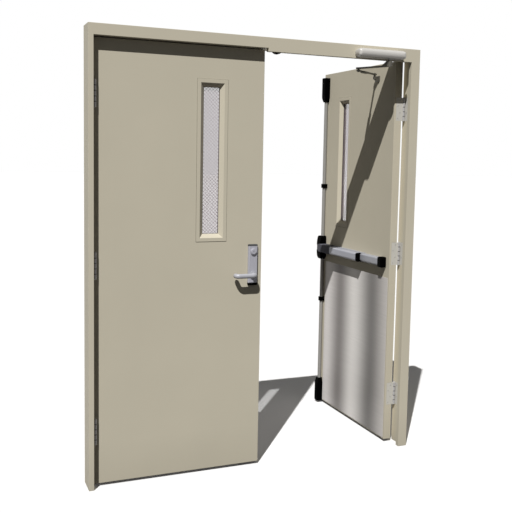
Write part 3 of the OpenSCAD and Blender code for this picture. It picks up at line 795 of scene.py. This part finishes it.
def brushed_sheet_painted_reflections(name, side):
    """Brushed sheet: soft upright bands of light and dark painted as reflections, under fine
    level scratches drawn 1.2 mm apart so that they show."""
    finish, tree, shader, place = new_finish(name, 0.4, 0.03)
    shader.inputs["Specular IOR Level"].default_value = 0.1
    spot = add(tree, "ShaderNodeSeparateXYZ", {"Vector": place})
    along = spot.outputs["X" if side == "left" else "Y"]
    start = leaf_point(side, 0, 0, 0)["xy".index(across(side))]
    wobble = add(tree, "ShaderNodeTexNoise", {
        "Vector": place, "Scale": per_mm(700), "Detail": 1.0,
    })
    drift = add(tree, "ShaderNodeMapRange", {
        "Value": wobble.outputs["Fac"], "To Min": -0.015, "To Max": 0.015,
    })
    level = add(tree, "ShaderNodeMapRange", {
        "Value": along, "From Min": start, "From Max": start + LEAF_W,
    })
    shifted = add(tree, "ShaderNodeMath", {0: level.outputs["Result"], 1: drift.outputs["Result"]})
    # Painted reflection: soft upright bands of light and dark across the leaf.
    reflection_bands = add(tree, "ShaderNodeValToRGB", {"Fac": shifted.outputs[0]})
    ramp = reflection_bands.color_ramp
    ramp.interpolation = "EASE"
    while len(ramp.elements) < len(PAINTED_REFLECTION_BANDS):
        ramp.elements.new(1.0)
    for element, (position, colour) in zip(ramp.elements, PAINTED_REFLECTION_BANDS):
        element.position = position
        element.color = linear(colour)
    stretch = [per_mm(200 if axis == across(side) else 1.2) for axis in "xyz"]
    lines = add(tree, "ShaderNodeMapping", {"Vector": place, "Scale": stretch})
    scratch = add(tree, "ShaderNodeTexNoise", {
        "Vector": lines.outputs["Vector"], "Scale": 1.0, "Detail": 3.0,
    })
    worn = add(tree, "ShaderNodeMapRange", {
        "Value": scratch.outputs["Fac"], "From Min": 0.3, "From Max": 0.7,
        "To Min": 0.89, "To Max": 1.03,
    })
    tint = add(tree, "ShaderNodeVectorMath", {
        0: reflection_bands.outputs["Color"], 1: worn.outputs["Result"],
    }, operation="MULTIPLY")
    tree.links.new(tint.outputs["Vector"], shader.inputs["Base Color"])
    ridges = add(tree, "ShaderNodeBump", {
        "Height": scratch.outputs["Fac"], "Strength": 0.15, "Distance": 0.0002,
    })
    tree.links.new(ridges.outputs["Normal"], shader.inputs["Normal"])
    return finish


for side in SIDES:
    sheet = brushed_sheet_painted_reflections(side + "_brushed_sheet_painted_reflections", side)
    refined(side + "_armour_plate", "plate_steel", sheet, PLATE_EDGE)


# ---- Closers and arms ----
# A cast closer in sprayed silver on each side of the header turns a pair of dark
# bronze arms, whose end pivots on a shoe screwed to the leaf.

SILVER = "#b2afaa"
CAST_VOXEL = 0.0025
CAST_SMOOTHING = 14
ARM_EDGE = 0.0012
SHOE_EDGE = 0.0008


def sprayed_silver(name):
    """Sprayed silver on a casting: a pale grey satin coat, with a metallic grain drawn 2 mm
    across so that it shows."""
    finish, tree, shader, place = new_finish(name, 0.5, 0.3)
    flake = add(tree, "ShaderNodeTexNoise", {"Vector": place, "Scale": per_mm(2), "Detail": 2.0})
    tint = add(tree, "ShaderNodeMixRGB", {
        "Fac": flake.outputs["Fac"], "Color1": linear(SILVER, 1.06), "Color2": linear(SILVER, 0.9),
    })
    tree.links.new(tint.outputs["Color"], shader.inputs["Base Color"])
    grain = add(tree, "ShaderNodeBump", {
        "Height": flake.outputs["Fac"], "Strength": 0.12, "Distance": 0.0003,
    })
    tree.links.new(grain.outputs["Normal"], shader.inputs["Normal"])
    return finish


def bronze_paint(name):
    """Dark bronze enamel on forged arms: brown black, worn in patches 14 mm across."""
    finish, tree, shader, place = new_finish(name, 0.45, 0.1)
    wear = add(tree, "ShaderNodeTexNoise", {"Vector": place, "Scale": per_mm(14), "Detail": 3.0})
    tint = add(tree, "ShaderNodeMixRGB", {
        "Fac": wear.outputs["Fac"], "Color1": linear("#37352f"), "Color2": linear("#5a564c"),
    })
    tree.links.new(tint.outputs["Color"], shader.inputs["Base Color"])
    forged = add(tree, "ShaderNodeBump", {
        "Height": wear.outputs["Fac"], "Strength": 0.2, "Distance": 0.0006,
    })
    tree.links.new(forged.outputs["Normal"], shader.inputs["Normal"])
    return finish


def cast_smooth(node):
    """A CAD node's shape with its corners melted together, as in a casting."""
    piece = closed_copy(node)
    skin = piece.modifiers.new("skin", "REMESH")
    skin.mode = "VOXEL"
    skin.voxel_size = CAST_VOXEL
    soft = piece.modifiers.new("soft", "SMOOTH")
    soft.factor = 0.5
    soft.iterations = CAST_SMOOTHING
    settled(piece)
    piece.data.polygons.foreach_set("use_smooth", [True] * len(piece.data.polygons))
    return piece


silver = sprayed_silver("sprayed_silver_casting")
bronze = bronze_paint("dark_bronze_arms")
for side in SIDES:
    node = side + "_closer_body"
    fitted(cast_smooth(node), "frame", "closer_silver", silver, node)
    refined(side + "_closer_arm", "arm_steel", bronze, ARM_EDGE)
    refined(side + "_closer_forearm", "arm_steel", bronze, ARM_EDGE)
    refined(side + "_closer_shoe", "arm_steel", bronze, SHOE_EDGE)


# ---- Strikes ----
# A rounded strike of black moulded plastic for each top latch, screwed to the
# underside of the header.

STRIKE_EDGE = 0.0008

refined("top_strikes", "black_trim", moulded, STRIKE_EDGE)


# ---- Floor, light and camera ----
# A plain pale floor and background, a key light from the front left and above, a low
# back light that hardly reaches the floor, and the world's even light.

FLOOR_HALF = 60
FLOOR_Z = -0.0005
FLOOR_SEEN = "#d5d4d3"
FLOOR_LIT = "#484848"
WORLD_SEEN = 1.0
WORLD_LIT = 0.12
# Each lamp's name, the way its light goes, its strength and its width in degrees.
LAMPS = (
    ("key_light", (0.75, 1.0, -1.63), 5.55, 0.5),
    ("back_light", (-0.8, -1.0, -0.06), 3.4, 5),
)


def seen_or_lit(tree):
    """1 for rays from the camera, from gloss or through glass, which meet the pale studio, and
    0 for the rays that carry its light to the door."""
    light_path = add(tree, "ShaderNodeLightPath", {})
    gloss = add(tree, "ShaderNodeMath", {
        0: light_path.outputs["Is Camera Ray"], 1: light_path.outputs["Is Glossy Ray"],
    }, operation="MAXIMUM")
    return add(tree, "ShaderNodeMath", {
        0: gloss.outputs[0], 1: light_path.outputs["Is Transmission Ray"],
    }, operation="MAXIMUM").outputs[0]


floor_shape = bmesh.new()
bmesh.ops.create_grid(floor_shape, x_segments=1, y_segments=1, size=FLOOR_HALF)
bmesh.ops.translate(floor_shape, verts=floor_shape.verts, vec=(0, 0, FLOOR_Z))
floor = on_stage("studio_floor", floor_shape)
floor_paint = bpy.data.materials.new("pale_studio_floor")
floor_paint.use_nodes = True
tree = floor_paint.node_tree
tree.nodes.clear()
pale = add(tree, "ShaderNodeBsdfDiffuse", {"Color": linear(FLOOR_SEEN)})
dim = add(tree, "ShaderNodeBsdfDiffuse", {"Color": linear(FLOOR_LIT)})
both = add(tree, "ShaderNodeMixShader", {
    0: seen_or_lit(tree), 1: dim.outputs[0], 2: pale.outputs[0],
})
add(tree, "ShaderNodeOutputMaterial", {"Surface": both.outputs[0]})
floor.data.materials.append(floor_paint)

world = bpy.data.worlds.new("pale_studio")
bpy.context.scene.world = world
world.use_nodes = True
tree = world.node_tree
tree.nodes.clear()
strength = add(tree, "ShaderNodeMapRange", {
    "Value": seen_or_lit(tree), "To Min": WORLD_LIT, "To Max": WORLD_SEEN,
})
sky = add(tree, "ShaderNodeBackground", {"Color": (1, 1, 1, 1), "Strength": strength.outputs[0]})
add(tree, "ShaderNodeOutputWorld", {"Surface": sky.outputs[0]})

for name, way, energy, degrees in LAMPS:
    lamp = bpy.data.objects.new(name, bpy.data.lights.new(name, "SUN"))
    bpy.context.scene.collection.objects.link(lamp)
    lamp.data.energy = energy
    lamp.data.angle = math.radians(degrees)
    lamp.rotation_mode = "QUATERNION"
    lamp.rotation_quaternion = Vector(way).to_track_quat("-Z", "Y")

# Where the camera stands, which way it looks in radians, and its lens in mm.
EYE = (-0.653497, -3.762506, 1.614676)
YAW, PITCH, ROLL = 0.4054051, -0.0947730, 0.0200869
SENSOR_W, LENS = 36, 55.6378
SHIFT = (-0.0342, -0.0465)
CLIP_END = 200
ahead = Vector((math.sin(YAW) * math.cos(PITCH), math.cos(YAW) * math.cos(PITCH), math.sin(PITCH)))
level_right = Vector((math.cos(YAW), -math.sin(YAW), 0))
level_up = level_right.cross(ahead)
right = level_right * math.cos(ROLL) + level_up * math.sin(ROLL)
up = level_up * math.cos(ROLL) - level_right * math.sin(ROLL)
camera = bpy.data.objects.new("camera", bpy.data.cameras.new("camera"))
bpy.context.scene.collection.objects.link(camera)
bpy.context.scene.camera = camera
camera.data.sensor_width = SENSOR_W
camera.data.lens = LENS
camera.data.shift_x, camera.data.shift_y = SHIFT
camera.data.clip_end = CLIP_END
camera.matrix_world = Matrix.Translation(EYE) @ Matrix((right, up, -ahead)).transposed().to_4x4()

bpy.context.scene.view_settings.view_transform = "Standard"
